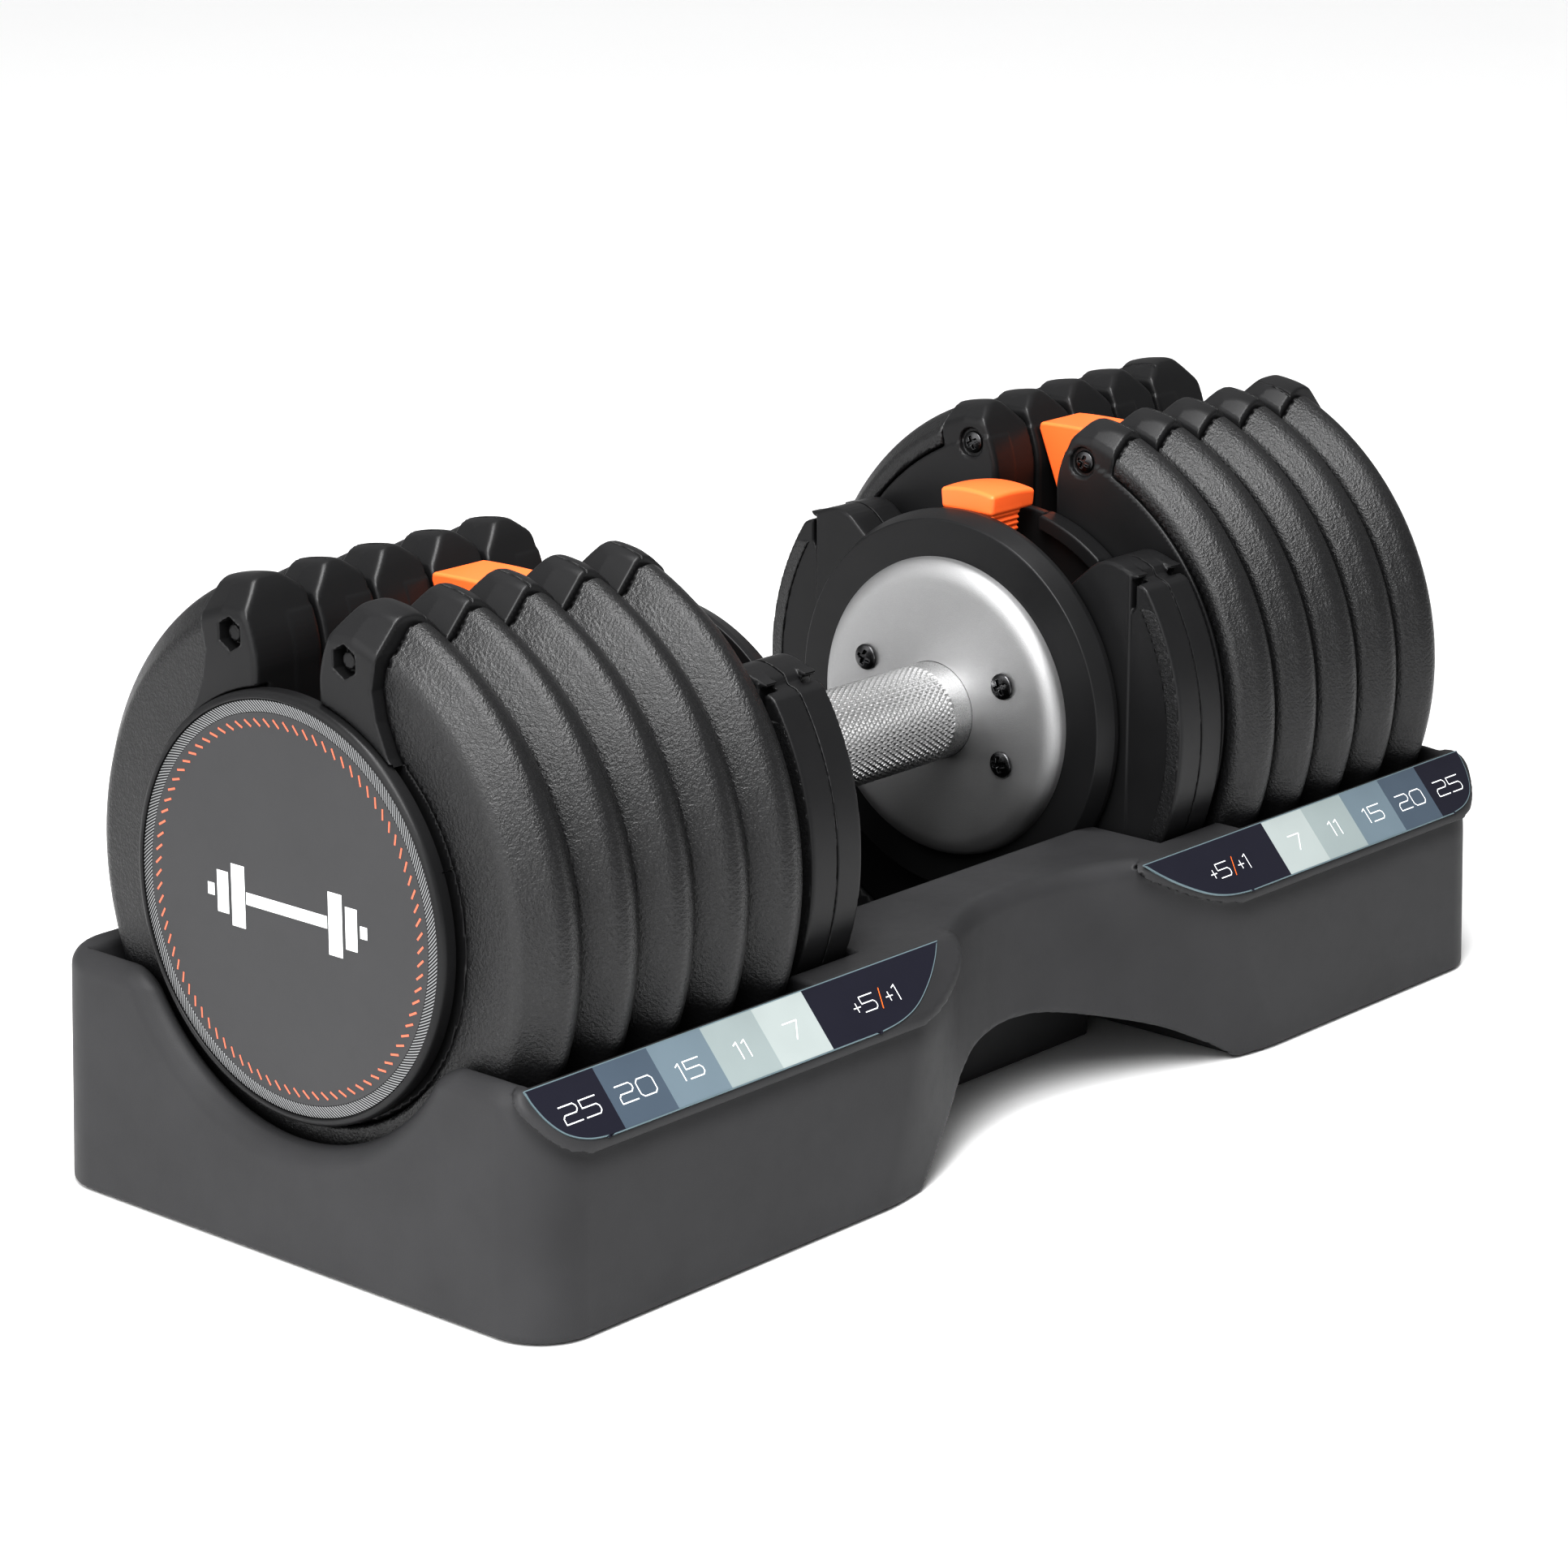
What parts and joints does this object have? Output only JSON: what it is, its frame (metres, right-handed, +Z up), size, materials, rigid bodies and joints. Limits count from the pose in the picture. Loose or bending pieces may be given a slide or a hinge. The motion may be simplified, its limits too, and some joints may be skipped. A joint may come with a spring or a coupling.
{
  "type": "adjustable dumbbell with tray",
  "caption": "Adjustable dumbbell docked in its storage tray: knurled grip, slotted iron plates on both sides, sliding selector knobs that pick the plates.",
  "frame": {"origin": "on the floor, under the middle of the grip", "axes": "+X along the grip, +Z up, -Y towards the scale labels"},
  "size_m": [0.426, 0.1975, 0.185],
  "materials": {
    "tray_plastic": "fine-grained charcoal moulding",
    "label_film": "printed label",
    "rubber_foot": "matte",
    "cast_iron": "black textured coating",
    "satin_aluminium": "bead-blasted satin",
    "steel": "satin chrome, knurled on the grip",
    "orange_plastic": "satin",
    "badge_plastic": "satin",
    "black_plastic": "satin moulding"
  },
  "bodies": {
    "tray": {"tray_shell": "tray_plastic", "scale_label_right": "label_film", "scale_label_left": "label_film", "tray_foot_front_left": "rubber_foot", "tray_foot_front_right": "rubber_foot", "tray_foot_back_left": "rubber_foot", "tray_foot_back_right": "rubber_foot", "addon_inner_shell_right": "black_plastic", "addon_inner_shell_left": "black_plastic", "addon_outer_shell_right": "black_plastic", "addon_outer_shell_left": "black_plastic", "addon_weight_right": "cast_iron", "addon_weight_left": "cast_iron", "end_cap_right": "black_plastic", "end_cap_left": "black_plastic", "trim_ring_right": "satin_aluminium", "trim_ring_left": "satin_aluminium", "badge_face_right": "badge_plastic", "badge_face_left": "badge_plastic", "plate_3_parked_iron_right": "cast_iron", "plate_3_parked_iron_left": "cast_iron", "plate_3_parked_insert_right": "black_plastic", "plate_3_parked_insert_left": "black_plastic", "plate_4_parked_iron_right": "cast_iron", "plate_4_parked_iron_left": "cast_iron", "plate_4_parked_insert_right": "black_plastic", "plate_4_parked_insert_left": "black_plastic", "plate_5_parked_iron_right": "cast_iron", "plate_5_parked_iron_left": "cast_iron", "plate_5_parked_insert_right": "black_plastic", "plate_5_parked_insert_left": "black_plastic"},
    "handle": {"grip_tube": "steel", "grip_flange_right": "satin_aluminium", "grip_flange_left": "satin_aluminium", "hub_disc_right": "black_plastic", "hub_disc_left": "black_plastic", "neck_rail_right": "black_plastic", "neck_rail_left": "black_plastic", "rear_disc_right": "black_plastic", "rear_disc_left": "black_plastic", "plate_1_held_iron_right": "cast_iron", "plate_1_held_iron_left": "cast_iron", "plate_1_held_insert_right": "black_plastic", "plate_1_held_insert_left": "black_plastic", "plate_2_held_iron_right": "cast_iron", "plate_2_held_iron_left": "cast_iron", "plate_2_held_insert_right": "black_plastic", "plate_2_held_insert_left": "black_plastic"},
    "main_selector_right": {"main_selector_knob_right": "orange_plastic", "main_lock_bar_right": "steel"},
    "addon_selector_right": {"addon_selector_knob_right": "orange_plastic", "addon_lock_yoke_right": "steel"},
    "main_selector_left": {"main_selector_knob_left": "orange_plastic", "main_lock_bar_left": "steel"},
    "addon_selector_left": {"addon_selector_knob_left": "orange_plastic", "addon_lock_yoke_left": "steel"}
  },
  "joints": [
    {"name": "handle_lift", "type": "slide", "parent": "tray", "child": "handle", "axis": [0, 0, 1], "range_m": [0, 0.2]},
    {"name": "main_selector_right_slide", "type": "slide", "parent": "handle", "child": "main_selector_right", "axis": [1, 0, 0], "range_m": [-0.0212, 0.0636]},
    {"name": "addon_selector_right_slide", "type": "slide", "parent": "handle", "child": "addon_selector_right", "axis": [1, 0, 0], "range_m": [0, 0.009]},
    {"name": "main_selector_left_slide", "type": "slide", "parent": "handle", "child": "main_selector_left", "axis": [-1, 0, 0], "range_m": [-0.0212, 0.0636]},
    {"name": "addon_selector_left_slide", "type": "slide", "parent": "handle", "child": "addon_selector_left", "axis": [-1, 0, 0], "range_m": [0, 0.009]}
  ]
}
